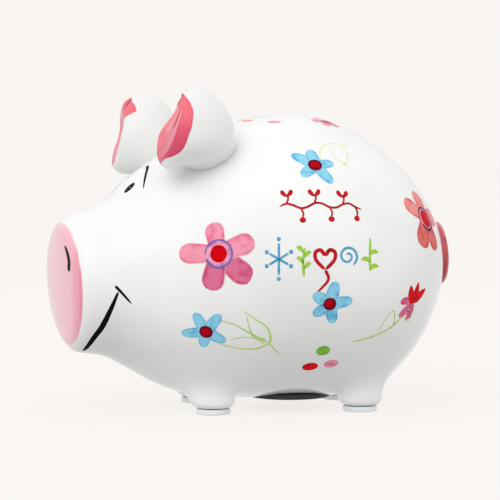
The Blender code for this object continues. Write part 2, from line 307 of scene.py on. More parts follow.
def fromSpine(station, side, height, lean=0.0):
    x, y, heading = spine(station)
    x -= lean * math.cos(heading)
    y -= lean * math.sin(heading)
    return Vector((x - side * math.sin(heading), y + side * math.cos(heading), height))


def ringPoints(ring):
    station, low, high, half, lean = ring
    tall = (high - low) / 2.0 * body["swell"]
    turns = [math.radians(a) for a in body["angles"]]
    points = []
    for turn in turns + [-a for a in reversed(turns[1:-1])]:
        rise = -tall * math.cos(turn)
        points.append(fromSpine(station, half * body["swell"] * math.sin(turn),
                                (low + high) / 2.0 + rise,
                                rise * math.tan(math.radians(lean))))
    return points


def pullLeg(thing, corners, x, y):
    # draws one belly face down to an ankle and a flat sole
    for height, long, wide in (body["ankle"], body["sole"]):
        bm = edit(thing, "FACE")
        for face in bm.faces:
            face.select_set(len(face.verts) == 4 and all(
                min((vert.co - corner).length for corner in corners) < 1e-6
                for vert in face.verts))
        bmesh.update_edit_mesh(thing.data)
        bpy.ops.mesh.extrude_region_move()
        bm = bmesh.from_edit_mesh(thing.data)
        foot = [vert for vert in bm.verts if vert.select]
        middle = sum((vert.co for vert in foot), Vector()) / len(foot)
        for vert in foot:
            vert.co = (x + math.copysign(long, vert.co.x - middle.x),
                       y + math.copysign(wide, vert.co.y - middle.y), height)
        corners = [vert.co.copy() for vert in foot]
        bmesh.update_edit_mesh(thing.data)
    bpy.ops.mesh.inset(thickness=body["sole"][1] * 0.22)
    leaveEdit(thing)


def bodyForm(levels):
    loops = [ringPoints(ring) for ring in body["rings"]]
    thing = ringStack("bodyGlaze", loops)
    count = len(loops[0])
    for span, x in body["legs"]:
        for first, second, side in ((1, 2, 1), (count - 2, count - 1, -1)):
            corners = [loops[span][first], loops[span][second],
                       loops[span + 1][first], loops[span + 1][second]]
            pullLeg(thing, corners, x, side * body["footY"])
    return rounder(thing, levels)


def drum(name, radius, low, high, x, count=96):
    bpy.ops.mesh.primitive_cylinder_add(vertices=count, radius=radius, depth=high - low,
                                        location=(x, 0, (low + high) / 2))
    bpy.context.object.name = name
    return settled(bpy.context.object)


def cavityForm():
    wall = body["wall"]
    inner = body["rings"][body["cavityRing"]:-1]
    rings = [(s, low + wall, high - wall, half - wall, 0.0) for s, low, high, half, _ in inner]
    first = inner[0]
    rings.insert(0, (body["cavityFront"], first[1] + 0.018, first[2] - 0.018, first[3] / 2, 0.0))
    rings.append((body["cavityRear"], 0.0440, 0.0820, 0.0200, 0.0))
    return rounder(ringStack("hollow", [ringPoints(ring) for ring in rings]), 3)


def slotCutter():
    # an upright bar with rounded ends, pushed through the back
    x, length, width, middle, depth, rounded = body["slot"]
    bpy.ops.mesh.primitive_cube_add(size=1, location=(x, 0, middle), scale=(length, width, depth))
    bar = settled(bpy.context.object)
    bm = edit(bar, "EDGE")
    for edge in bm.edges:
        edge.select_set(abs(edge.verts[0].co.z - edge.verts[1].co.z) > depth / 2)
    bmesh.update_edit_mesh(bar.data)
    bpy.ops.mesh.bevel(offset=width * rounded, segments=6, affect="EDGES")
    return leaveEdit(bar)


snout = {"middle": 0.0526, "halfWidth": 0.0240, "halfHeight": 0.0250, "depth": 0.0075,
         "light": tone(247, 200, 207), "mid": tone(244, 178, 192), "deep": tone(230, 128, 154)}


def snoutPaint(made):
    x, y, heading = spine(-0.0790)
    origin = (x, y, snout["middle"])
    side = made.along(origin, (math.sin(heading), -math.cos(heading), 0.0))
    rise = made.along(origin, (0.0, 0.0, 1.0))
    back = made.along(origin, (math.cos(heading), math.sin(heading), 0.0))
    wobble = made.noise(60.0, 1.0) * 0.05 - 0.025
    reach = ((side / snout["halfWidth"]) ** 2.0 + (rise / snout["halfHeight"]) ** 2.0) ** 0.5
    inside = 1.0 - (reach + wobble).above(0.975, 1.0)
    front = 1.0 - back.above(snout["depth"], snout["depth"] + 0.0004)
    streak = made.noise(1.0, 3.0, stretch=(420.0, 420.0, 45.0))
    across = (side / snout["halfWidth"] - rise / snout["halfHeight"] * 0.25) * 0.5 + 0.5
    pink = made.blend((across + streak * 0.5 - 0.25).above(0.1, 0.65), snout["light"],
                      snout["mid"])
    pink = made.blend((across + streak * 0.3 - 0.15).above(0.72, 1.05), pink, snout["deep"])
    return inside * front, pink


pig = bodyForm(3)
# the uncut skin, on which ears, tail and paint are laid
canvas = BVHTree.FromObject(pig, bpy.context.evaluated_depsgraph_get())
cutAway(pig, cavityForm())
cutAway(pig, slotCutter())
cutAway(pig, drum("hole", *body["hole"], body["holeX"]))
cutAway(pig, drum("seat", *body["seat"], body["holeX"]))
smoothed(pig, 35)
bodyFinish = glaze("whiteGlazeBody")
snoutMask, snoutColour = snoutPaint(bodyFinish)
bodyFinish.feed("Base Color", bodyFinish.blend(snoutMask, bodyFinish.white, snoutColour))
dress(pig, bodyFinish)
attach(pig, "shell")
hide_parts("body_shell")
print("body:", len(pig.data.polygons), "faces")


# ears

ears = {
    "station": -0.0306, "out": 0.0315, "baseZ": 0.0995, "radii": (0.0166, 0.0140, 0.0196),
    "centre": (-0.0012, 0.0, 0.0120), "yaw": math.radians(4.0), "taper": 0.12,
    "flat": 0.38, "rightFlat": 0.6, "flatSpan": (-0.92, -0.25),
    "rightDrop": 0.0013, "rightForward": 0.0028,
    "faceCentre": (-0.0122, 0.0, 0.0155), "leftLean": math.radians(18.0),
    "rightLean": math.radians(9.0), "weld": 0.0005,
    "rings": (0.93, 0.84, 0.72, 0.58, 0.44, 0.30, 0.16, 0.06),
    "halfAcross": 0.0105, "halfUp": 0.0150, "dish": 0.0008, "fold": 0.0026,
    "foldWidth": 0.0016, "foldAt": -0.0030,
    "foldSpan": (-0.003, 0.010), "foldEnd": (0.80, 1.08),
    "flare": 0.0017, "flareReach": 0.0050, "bury": 0.0006,
    # dark is painted shade, the deep red laid along the fold
    "pink": tone(236, 102, 116), "rose": tone(208, 60, 94), "dark": tone(132, 24, 48),
    # white is a greyer glaze white for the ears than the body's: painted shade on the hoods
    "narrowing": 0.0080, "white": tone(228, 228, 227), "pinkCoat": 0.15,
    # how far the far half of each face is pressed back, and where
    "leftPush": 0.0034, "leftPushSpan": (-0.004, 0.010), "rightPush": 0.0022,
    "rightPushHalf": 0.008, "pushAcross": (-0.003, 0.006), "pushDepth": 0.0030,
    "pushReach": 1.25, "skin": 0.0008,
    "lip": 0.0012, "nearLip": 0.0034, "paintDepth": (0.0045, 0.0048),
}


def earPlaces(side):
    drop = ears["rightDrop"] if side > 0 else 0.0
    station = ears["station"] - (ears["rightForward"] if side > 0 else 0.0)
    lean = ears["rightLean"] if side > 0 else ears["leftLean"]
    heading = spine(ears["station"])[2]
    stand = (Matrix.Translation(fromSpine(station, side * ears["out"], ears["baseZ"] - drop))
             @ Matrix.Rotation(heading - side * ears["yaw"], 4, "Z"))
    return stand, stand @ Matrix.Translation(ears["faceCentre"]) @ Matrix.Rotation(lean, 4, "Y")


def step(value, low, high):
    share = min(1.0, max(0.0, (value - low) / (high - low)))
    return share * share * (3.0 - 2.0 * share)


def earHood(name, side):
    stand, face = earPlaces(side)
    bpy.ops.mesh.primitive_uv_sphere_add(segments=48, ring_count=28, radius=1.0)
    hood = bpy.context.object
    hood.name = name
    bm = edit(hood)
    for vert in bm.verts:
        narrow = 1.0 - ears["taper"] * max(vert.co.z, 0.0) ** 2
        flat = ears["flat"] * step(vert.co.x, *ears["flatSpan"]) if vert.co.z < 0.0 else 0.0
        flat *= ears["rightFlat"] if side > 0 else 1.0
        size = Vector((ears["radii"][0] * narrow, ears["radii"][1] * narrow,
                       ears["radii"][2] * (1.0 - flat)))
        vert.co = stand @ (vert.co * size + Vector(ears["centre"]))
        vert.select = True
    bmesh.update_edit_mesh(hood.data)
    bpy.ops.mesh.select_all(action="SELECT")
    front = (face.to_3x3() @ Vector((-1.0, 0.0, 0.0))).normalized()
    bpy.ops.mesh.bisect(plane_co=face.translation, plane_no=front, use_fill=False,
                        clear_outer=True)
    bpy.ops.mesh.select_all(action="SELECT")
    bpy.ops.mesh.remove_doubles(threshold=ears["weld"])
    bpy.ops.mesh.select_all(action="DESELECT")
    bm = bmesh.from_edit_mesh(hood.data)
    for edge in bm.edges:
        if edge.is_boundary:
            edge.select_set(True)
    bmesh.update_edit_mesh(hood.data)
    bpy.ops.mesh.edge_face_add()
    bpy.ops.mesh.select_mode(type="FACE")
    bm = bmesh.from_edit_mesh(hood.data)
    rim = [vert.co.copy() for vert in bm.verts if vert.select]
    middle = sum(rim, Vector()) / len(rim)
    share = 1.0
    for ring in ears["rings"]:
        bpy.ops.mesh.extrude_region_move()
        bm = bmesh.from_edit_mesh(hood.data)
        for vert in bm.verts:
            if vert.select:
                vert.co = middle + (vert.co - middle) * (ring / share)
        bmesh.update_edit_mesh(hood.data)
        share = ring
    leaveEdit(hood)
    rounder(hood, 1)
    back = face.inverted()
    for vert in hood.data.vertices:
        spot = back @ vert.co
        reach = math.hypot(spot.y / ears["halfAcross"], spot.z / ears["halfUp"])
        if spot.x < ears["pushDepth"] and reach < ears["pushReach"]:
            off = abs(spot.y - ears["foldAt"])
            sink = ears["dish"] * (1.0 - min(1.0, reach) ** 2) if spot.x < ears["skin"] else 0.0
            sink += (ears["fold"] * math.exp(-(off / ears["foldWidth"]))
                     * step(spot.z, *ears["foldSpan"]) * (1.0 - step(reach, *ears["foldEnd"])))
            vert.co += front * -sink
            if side < 0:
                push = ears["leftPush"] * step(spot.z, *ears["leftPushSpan"])
            else:
                push = ears["rightPush"] * math.exp(-(spot.z / ears["rightPushHalf"]) ** 2)
            vert.co += front * (-push * step(spot.y, *ears["pushAcross"]))
    axis = stand @ Vector(ears["centre"])
    for vert in hood.data.vertices:
        near, normal, _, _ = canvas.find_nearest(vert.co)
        high = (vert.co - near).dot(normal)
        if high < ears["flareReach"]:
            away = vert.co - axis
            away -= normal * away.dot(normal)
            push = ears["flare"] * (1.0 - max(0.0, high) / ears["flareReach"]) ** 2
            if high < -ears["bury"]:
                vert.co = near - normal * ears["bury"]
            vert.co += away.normalized() * push
    rounder(hood, 1)
    smoothed(hood)
    made = glaze(name + "Glaze")
    across = made.along(face.translation, face.to_3x3() @ Vector((0.0, 1.0, 0.0)))
    rise = made.along(face.translation, face.to_3x3() @ Vector((0.0, 0.0, 1.0)))
    behind = made.along(face.translation, -front)
    # pink: a lip round the rim, wider on the near side, and the whole leaf of the face
    nearSide = (across * -100.0).above(0.0, 1.0)
    if side < 0:
        reach = rise.above(-0.0165, -0.006) * (1.0 - rise.above(0.0060, 0.0160) * 0.75)
    else:
        reach = rise.above(-0.0090, 0.0100)
    lip = (ears["lip"] + ears["nearLip"] * nearSide) * reach
    wobble = made.noise(140.0, 1.0) * 0.0008 - 0.0004
    mask = 1.0 - (behind - lip + wobble).above(-0.0002, 0.0002)
    leaf = 1.0 - ((across / ears["halfAcross"]) ** 2.0
                  + (rise / ears["halfUp"]) ** 2.0
                  - across.above(-0.001, 0.003) * 0.35
                  - rise.above(0.008, 0.013) * 0.2).above(0.78, 0.86)
    inner = 1.0 - behind.above(*ears["paintDepth"])
    leaf = leaf * inner
    mask = made.node("ShaderNodeMath", {"operation": "MAXIMUM"}, {0: mask, 1: leaf})
    if side > 0:
        limit = (1.0 - rise.above(-0.0120, 0.0150)) * ears["narrowing"] - ears["halfAcross"]
        mask = mask * (across - limit).above(-0.0003, 0.0003)
    # its streaked tones, deeper rose towards the bottom and the near side; painted shade, deep red
    # along the upper part of the fold; and a painted highlight, a thin white line beside it
    streak = made.noise(1.0, 3.0, stretch=(500.0, 500.0, 90.0))
    colour = made.blend((streak * 0.5 - rise * 40.0 - across * 30.0).above(0.1, 0.9),
                        ears["pink"], ears["rose"])
    creaseShade = (1.0 - abs(across - ears["foldAt"]).above(0.0003, 0.0019)) * rise.above(-0.004, 0.004)
    # painted highlight: a thin white line beside the fold, high on the face
    slitHighlight = ((1.0 - abs(across - ears["foldAt"] + 0.0009).above(0.0003, 0.0006))
            * rise.above(0.0030, 0.0050) * (1.0 - rise.above(0.0100, 0.0115)))
    edge = 1.0 - abs(behind - lip + wobble + 0.0004).above(0.0001, 0.0006)
    colour = made.blend(creaseShade * inner * 0.85, colour, ears["dark"])
    colour = made.blend(slitHighlight * inner * 0.8, colour, glazeLook["white"])
    colour = made.blend(edge * 0.35, colour, ears["rose"])
    # painted shade: the unpainted glaze of the ears is greyer than the body's
    shadedWhite = made.blend(made.noise(30.0).above(0.35, 0.65), ears["white"], glazeLook["shade"])
    made.feed("Base Color", made.blend(mask, shadedWhite, colour))
    made.feed("Coat Weight", (1.0 - mask) * (glazeLook["coat"] - ears["pinkCoat"])
              + ears["pinkCoat"])
    dress(hood, made)
    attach(hood, "shell")
    return hood


for name, side, node in (("earLeftHood", -1, "ear_left"), ("earRightHood", 1, "ear_right")):
    hood = earHood(name, side)
    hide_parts(node)
print("ears done")


# tail, a cord coiled flat against the rump

tailCord = {"height": 0.0655, "shift": -0.0030, "outer": 0.0135, "inner": 0.0030, "turns": 1.15,
            "radius": 0.0027, "tipShare": 0.45, "rootDepth": 0.0045, "points": 40, "raise": 0.04,
            "red": tone(186, 48, 56), "light": tone(214, 92, 94), "dark": tone(120, 22, 34)}


def tailCoil():
    bpy.ops.curve.primitive_nurbs_path_add()
    coil = bpy.context.object
    coil.name = "tailCoil"
    line = coil.data.splines[0]
    line.points.add(tailCord["points"] - len(line.points))
    for i, point in enumerate(line.points):
        share = i / (tailCord["points"] - 1)
        turn = -math.pi / 2.0 + share * tailCord["turns"] * 2.0 * math.pi
        radius = tailCord["outer"] + (tailCord["inner"] - tailCord["outer"]) * share
        y, z = tailCord["shift"] - radius * math.cos(turn), radius * math.sin(turn)
        near, normal, _, _ = canvas.ray_cast(Vector((0.12, y, tailCord["height"] + z)),
                                             Vector((-1.0, 0.0, 0.0)))
        high = tailCord["radius"] * tailCord["raise"]
        near += normal * (high - (tailCord["rootDepth"] if i == 0 else 0.0))
        point.co = (near.x, near.y, near.z, 1.0)
        point.radius = 1.0 - (1.0 - tailCord["tipShare"]) * share
    for i, share in ((-1, 0.12), (-2, 0.34), (-3, 0.42)):
        line.points[i].radius = share
    line.use_endpoint_u = True
    line.order_u = 4
    coil.data.resolution_u = 4
    coil.data.bevel_depth = tailCord["radius"]
    coil.data.bevel_resolution = 8
    coil.data.use_fill_caps = True
    pick(coil)
    bpy.ops.object.convert(target="MESH")
    edit(coil)
    bpy.ops.mesh.select_all(action="SELECT")
    bpy.ops.mesh.remove_doubles(threshold=0.00001)
    leaveEdit(coil)
    smoothed(coil)
    made = glaze("redGlazeTail")
    streak = made.noise(90.0, 3.0)
    colour = made.blend(streak.above(0.35, 0.7), tailCord["red"], tailCord["light"])
    colour = made.blend(made.noise(160.0, 2.0).above(0.55, 0.75) * 0.6, colour, tailCord["dark"])
    made.feed("Base Color", colour)
    return dress(coil, made)


coil = tailCoil()
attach(coil, "shell")
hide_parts("tail")
print("tail done")


# clear foot pads

pad = {"radius": 0.0070, "height": 0.0023, "edge": 0.0006,
       "places": (("padFrontLeft", "foot_pad_front_left", -0.0181, -0.0205),
                  ("padFrontRight", "foot_pad_front_right", -0.0181, 0.0205),
                  ("padRearLeft", "foot_pad_rear_left", 0.0426, -0.0205),
                  ("padRearRight", "foot_pad_rear_right", 0.0426, 0.0205))}


def circle(radius, z, x=0.0, y=0.0, count=64):
    return [Vector((x + radius * math.cos(2 * math.pi * i / count),
                    y + radius * math.sin(2 * math.pi * i / count), z)) for i in range(count)]


def turnedPiece(name, profile, x, y, count=64):
    return ringStack(name, [circle(radius, z, x, y, count) for radius, z in profile])


def roundEdge(radius, z, edge, outward, upward, steps=4):
    # points of a quarter round whose corner is at (radius, z)
    points = []
    for i in range(steps + 1):
        turn = math.pi / 2 * i / steps
        points.append((radius - outward * edge * (1 - math.sin(turn)),
                       z - upward * edge * (1 - math.cos(turn))))
    return points


clearPad = Finish("clearSilicone", Roughness=0.22, IOR=1.41, Transmission_Weight=0.08)
clearPad.feed("Base Color", clearPad.blend(clearPad.noise(300.0), tone(244, 245, 245),
                                           tone(234, 236, 237)))
clearPad.ripple(clearPad.noise(500.0), 0.12, 0.0004)
for name, node, x, y in pad["places"]:
    radius, height, edge = pad["radius"], pad["height"], pad["edge"]
    profile = [(radius * 0.3, height), (radius * 0.7, height)]
    profile += roundEdge(radius, height, edge, 1, 1)
    profile += reversed(roundEdge(radius, 0.0, edge, 1, -1))
    profile += [(radius * 0.7, 0.0), (radius * 0.3, 0.0)]
    foot = turnedPiece(name, profile, x, y, 48)
    smoothed(foot, 50)
    dress(foot, clearPad)
    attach(foot, "shell")
    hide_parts(node)
print("pads done")


# belly stopper and its lock

def moulded(name, light, dark, roughness, grain):
    made = Finish(name, Roughness=roughness)
    speck = made.noise(900.0, 3.0)
    made.feed("Base Color", made.blend(speck, dark, light))
    made.feed("Roughness", made.noise(260.0) * 0.14 + (roughness - 0.07))
    made.ripple(made.noise(2200.0, 2.0), grain, 0.0002)
    return made


# black plastic; the black of the flange also stands in for the shade in the dark strip under the
# belly
stopperBlackAndShade = moulded("blackStopperPlasticAndShade", tone(34, 34, 36), tone(20, 20, 21), 0.42, 0.12)
knobLook = moulded("blackKnobPlastic", tone(46, 46, 48), tone(30, 30, 31), 0.36, 0.10)
tongueLook = moulded("greyTonguePlastic", tone(60, 60, 63), tone(44, 44, 46), 0.46, 0.14)
steelLook = Finish("brushedScrewSteel", Metallic=1.0, Roughness=0.28)
steelLook.feed("Base Color", steelLook.blend(steelLook.noise(800.0), tone(205, 206, 210),
                                             tone(184, 186, 190)))
steelLook.feed("Roughness", steelLook.noise(1.0, 2.0, stretch=(300.0, 3000.0, 300.0)) * 0.2
               + 0.18)
for node, look in (("stopper_body", stopperBlackAndShade), ("lock_knob", knobLook),
                   ("lock_cam", tongueLook), ("lock_screw", steelLook)):
    dress(frame["nodes"][node], look)
print("stopper done")


# brushwork: every stroke is a thin skin laid on the glaze, gathered into one piece per colour

# shapes are the half widths of a petal at its root and near its tip, as shares
brush = {"lift": 0.00004, "layer": 0.00002, "skin": 0.00006, "across": 8, "perStep": 0.0005,
         "blueShape": (1.0, 0.72), "pinkShape": (0.78, 1.06)}
strokes = {}


def onCanvas(point):
    near, normal, _, _ = canvas.find_nearest(point)
    return near, normal


def paperAt(point, outward):
    # a flat sheet of paper laid on the body: its middle, its right, its up
    outward = Vector(outward).normalized()
    near, normal, _, _ = canvas.ray_cast(Vector(point) * mm + outward * 0.03, -outward)
    right = Vector((0.0, 0.0, 1.0)).cross(normal).normalized()
    return near, right, normal.cross(right)


def curvePoints(knots, count):
    # smooth line through the knots
    ends = [knots[0] * 2 - knots[1]] + list(knots) + [knots[-1] * 2 - knots[-2]]
    spans = len(knots) - 1
    line = []
    for i in range(count + 1):
        place = min(i / count * spans, spans - 1e-9)
        k = int(place)
        t = place - k
        a, b, c, d = ends[k:k + 4]
        line.append(0.5 * (2 * b + (c - a) * t + (2 * a - 5 * b + 4 * c - d) * t * t
                           + (3 * b - a - 3 * c + d) * t ** 3))
    return line


def capWidth(share, length):
    if length <= 0.0 or share >= length:
        return 1.0
    return math.sqrt(max(0.0, 1.0 - (1.0 - share / length) ** 2))


def stroke(colour, knots, start, end, capStart=0.1, capEnd=0.1, layer=0, belly=0.0):
    # start and end are half widths in mm; a cap is the share of the length that rounds off
    length = sum((b - a).length for a, b in zip(knots, knots[1:]))
    count = max(10, int(length / brush["perStep"]))
    line = [onCanvas(point) for point in curvePoints(knots, count)]
    rows = brush["across"] if max(start, end) > 0.8 else brush["across"] // 2
    bpy.ops.mesh.primitive_grid_add(x_subdivisions=count, y_subdivisions=rows, size=2)
    thing = bpy.context.object
    lifted = brush["lift"] + brush["layer"] * layer
    for vert in thing.data.vertices:
        i = min(count, max(0, round((vert.co.x + 1.0) / 2.0 * count)))
        share = i / count
        centre, normal = line[i]
        ahead = line[min(count, i + 1)][0] - line[max(0, i - 1)][0]
        side = normal.cross(ahead).normalized()
        width = (start + (end - start) * share + belly * math.sin(math.pi * share)) * mm
        width *= capWidth(share, capStart) * capWidth(1.0 - share, capEnd)
        near, skin = onCanvas(centre + side * (vert.co.y * max(width, 0.00001)))
        vert.co = near + skin * lifted
    middle = thing.data.polygons[len(thing.data.polygons) // 2]
    if middle.normal.dot(onCanvas(middle.center)[1]) < 0:
        thing.data.flip_normals()
    strokes.setdefault(colour, []).append(thing)


def draw(sheet, colour, points, start, end, capStart=0.1, capEnd=0.1, layer=0, belly=0.0,
         flip=1):
    middle, right, up = sheet
    knots = [middle + right * (a * flip * mm) + up * (b * mm) for a, b in points]
    stroke(colour, knots, start, end, capStart, capEnd, layer, belly)


def dot(sheet, colour, a, b, length, width, turn=0.0, layer=0, flip=1):
    da, db = length * math.cos(math.radians(turn)), length * math.sin(math.radians(turn))
    draw(sheet, colour, [(a - da, b - db), (a, b), (a + da, b + db)], width, width, 0.5, 0.5,
         layer, flip=flip)


def hoop(sheet, colour, radius, width, layer=0, gap=12, begin=200):
    points = []
    for i in range(13):
        turn = math.radians(begin + (360 - gap) * i / 12)
        points.append((radius * math.cos(turn), radius * math.sin(turn)))
    draw(sheet, colour, points, width * 1.3, width * 0.7, 0.04, 0.04, layer)


def petal(sheet, colour, turn, length, width, layer=0, flip=1):
    ca, sa = math.cos(math.radians(turn)), math.sin(math.radians(turn))
    inner = length * 0.12
    root, tip = brush["blueShape"] if colour == "skyBlue" else brush["pinkShape"]
    points = [((inner + (length - inner) * t) * ca, (inner + (length - inner) * t) * sa)
              for t in (0.0, 0.5, 1.0)]
    draw(sheet, colour, points, width * root, width * tip, 0.05, 0.42, layer, flip=flip)


def bloom(sheet, colours, petals, heart, ring=0.0, rim="violetLine", flip=1):
    for i, (turn, length, width) in enumerate(petals):
        petal(sheet, colours[i % len(colours)], turn, length, width, layer=i % 3, flip=flip)
    if ring:
        dot(sheet, "roseHalo", 0, 0, ring, ring, 0, 3)
        hoop(sheet, rim, ring, 0.42, 4)
        dot(sheet, "redHeart", 0, 0, heart, heart, 0, 5)
    else:
        dot(sheet, "plumHeart", 0, 0, heart * 1.12, heart * 1.12, 0, 4)
        dot(sheet, "crimsonHeart", 0, 0, heart * 0.82, heart * 0.82, 0, 5)


def mirrored(point, near):
    x, y, z = point
    return (x, y, z) if near else (x, -y, z)


# petals of each flower: direction in degrees, length and half width in mm
bigPetals = ((104, 13.0, 4.2), (22, 15.2, 4.6), (180, 16.4, 4.4), (-39, 16.8, 5.0),
             (-102, 15.0, 4.9))
bluePetalsA = ((116, 9.2, 2.8), (50, 10.2, 2.7), (186, 10.4, 2.6), (-107, 7.6, 2.7),
               (-32, 8.9, 2.8))
bluePetalsB = ((143, 10.8, 2.9), (95, 8.6, 3.0), (9, 8.0, 2.7), (-57, 10.8, 2.8),
               (222, 8.2, 2.9))
bluePetalsC = ((78, 9.6, 3.0), (148, 8.2, 2.9), (8, 9.4, 2.9), (-76, 8.8, 2.8), (218, 8.0, 2.8))
coralPetals = ((75, 13.2, 4.5), (142, 14.3, 4.2), (227, 15.0, 4.8), (-79, 14.0, 4.6),
               (4, 13.0, 4.4))


def flank(near):
    flip = 1 if near else -1
    out = (0, -1, 0) if near else (0, 1, 0)

    def sheet(point, outward=None):
        return paperAt(mirrored(point, near), mirrored(outward, near) if outward else out)

    def turned(petals):
        return [(turn if near else 180 - turn, length, width) for turn, length, width in petals]

    def line(paper, colour, points, start, end, **more):
        draw(paper, colour, points, start, end, flip=flip, **more)

    bloom(sheet((-20.7, -51, 66.3), (-0.4, -1, 0.2)),
          ("pinkLight", "pinkLight", "pinkLight", "pinkDeep", "pinkDeep"), turned(bigPetals),
          3.4, 5.4)
    bloom(sheet((-24.9, -45, 35.4), (-0.4, -1, -0.3)), ("skyBlue",), turned(bluePetalsA), 2.5)
    bloom(sheet((18.7, -44, 100.3), (0, -1, 0.7)), ("skyBlue",), turned(bluePetalsB), 2.6)
    bloom(sheet((22.3, -56, 46.6), (0, -1, -0.3)), ("skyBlue",), turned(bluePetalsC), 2.4)
    bloom(sheet((66.2, -33, 78.6), (0.73, -0.57, 0.39)),
          ("coralLight", "coralLight", "coralDeep", "coralDeep", "coralLight"),
          turned(coralPetals), 3.7, 4.9, "plumHeart")

    leaf = sheet((-10.0, -50, 29.5), (-0.1, -1, -0.6))
    line(leaf, "paleGreen", [(-11, 10), (-4, 8), (3, 3.5), (8, 1)], 0.25, 0.42)
    line(leaf, "paleGreen", [(-11, -1), (-3, -3), (4, -3.5), (9.5, -1)], 0.22, 0.42)
    line(leaf, "paleGreen", [(-6, 1), (0, 2.4), (5, 1.5), (9.5, -0.4)], 0.18, 0.3)
    line(leaf, "paleGreen", [(-1.0, 14.5), (3.5, 11), (8.5, 7), (10.0, 2), (9.6, -1)], 0.22, 0.5)
    line(leaf, "paleGreen", [(0.6, 12), (1.6, 7), (3.5, 2.5), (8, -1)], 0.2, 0.34)
    line(leaf, "paleGreen", [(9.2, -0.5), (12, -4.5), (14.5, -8)], 0.4, 0.18)

    vine = sheet((29.0, -38, 104), (0.2, -1, 0.9))
    line(vine, "limeWash", [(-8, -6), (-8, 0), (-5, 5), (0, 7), (8, 6)], 0.22, 0.3)
    line(vine, "limeWash", [(-3, 5.5), (-1.5, -2), (1.5, -5), (4.5, 0), (3.0, 6)], 0.2, 0.28)
    line(vine, "limeWash", [(1.2, -4), (1.4, -7), (1.0, -9)], 0.2, 0.14)

    bud = sheet((58.1, -45, 46.1), (0.55, -0.8, -0.1))
    for points in ([(0, -1), (-1.2, 3), (-2.0, 7)], [(0.5, -1), (1.6, 3.2), (2.6, 8)],
                   [(1, -0.5), (4.2, 2.4), (8.0, 5)]):
        line(bud, "scarlet", points, 1.0, 1.0, capStart=0.3, capEnd=0.6, belly=0.7, layer=2)
    for points in ([(0, 0), (-3.4, 0.6), (-6.6, 0)], [(0, -0.5), (-3, -3.6), (-5.4, -6.4)],
                   [(0.5, -0.5), (0.4, -4), (-0.8, -7.8)]):
        line(bud, "pinkDeep", points, 1.0, 1.5, capStart=0.2, capEnd=0.45, belly=0.4)
    stem = sheet((44.5, -47, 33.5), (0.3, -0.8, -0.55))
    line(stem, "paleGreen", [(10, 7), (4, 2), (-3, -1.5), (-11, -4.0)], 0.4, 0.45)
    line(stem, "paleGreen", [(-1, 0.5), (1.0, 6), (4.2, 10), (6.0, 5), (5.0, 1.5)], 0.18, 0.3)
    line(stem, "paleGreen", [(10, 7), (14, 4), (15, 8.5), (12.5, 10)], 0.18, 0.26)

    dot(sheet((21.8, -46, 27.2), (0, -0.8, -0.6)), "leafGreen", 0, 0, 2.9, 2.6, 15)
    dot(sheet((17.9, -39.5, 20.2), (0, -0.7, -0.7)), "scarlet", 0, 0, 3.3, 2.5, 12, flip=flip)
    rosy = sheet((26.2, -40.5, 21.4), (0, -0.7, -0.7))
    dot(rosy, "pinkLight", 0, 0, 3.0, 2.4, 20, flip=flip)
    dot(rosy, "pinkDeep", 0, 0, 1.3, 0.8, 20, 1, flip=flip)

    dot(sheet((-2.2, -8.6, 118.2), (0, -0.1, 1)), "coralLight", 0, 0, 3.1, 1.5, 0, flip=flip)
    dot(sheet((7.4, -17.4, 117.7), (0, -0.3, 1)), "pinkLight", 0, 0, 2.9, 1.5, 0, flip=flip)
    crown = sheet((29.0, -13.5, 117.0), (0.1, -0.25, 1))
    bloom(crown, ("pinkLight", "pinkDeep", "pinkLight"),
          turned([(turn, 6.4, 2.0) for turn in (80, 8, 152, 224, -64)]), 1.5)

    garland = sheet((19.5, -54, 85), (0, -1, 0.35))
    swing = [(-17 + 34 * i / 12, 1.1 * math.sin(i * 1.45)) for i in range(13)]
    line(garland, "wineRed", swing, 0.5, 0.44)
    for i, (a, up) in enumerate(((-14, 1), (-8.5, -1), (-3, 1), (3, -1), (8.5, 1), (14, -1))):
        b = 1.1 * math.sin((a + 17) / 34 * 12 * 1.45)
        line(garland, "wineRed", [(a, b), (a + 0.8, b + up * 2.2), (a + 0.4, b + up * 4.0)],
             0.4, 0.36)
        if i % 2:
            dot(garland, "wineRed", a + 0.4, b + up * 4.9, 1.3, 1.15, 0, 1, flip)
        else:
            for lean in (-1, 1):
                line(garland, "wineRed", [(a + 0.4, b + 3.0), (a + 0.4 + lean * 1.5, b + 4.6),
                                          (a + 0.4 + lean * 1.9, b + 6.2)], 0.4, 0.8,
                     capEnd=0.5, belly=0.3, layer=1)

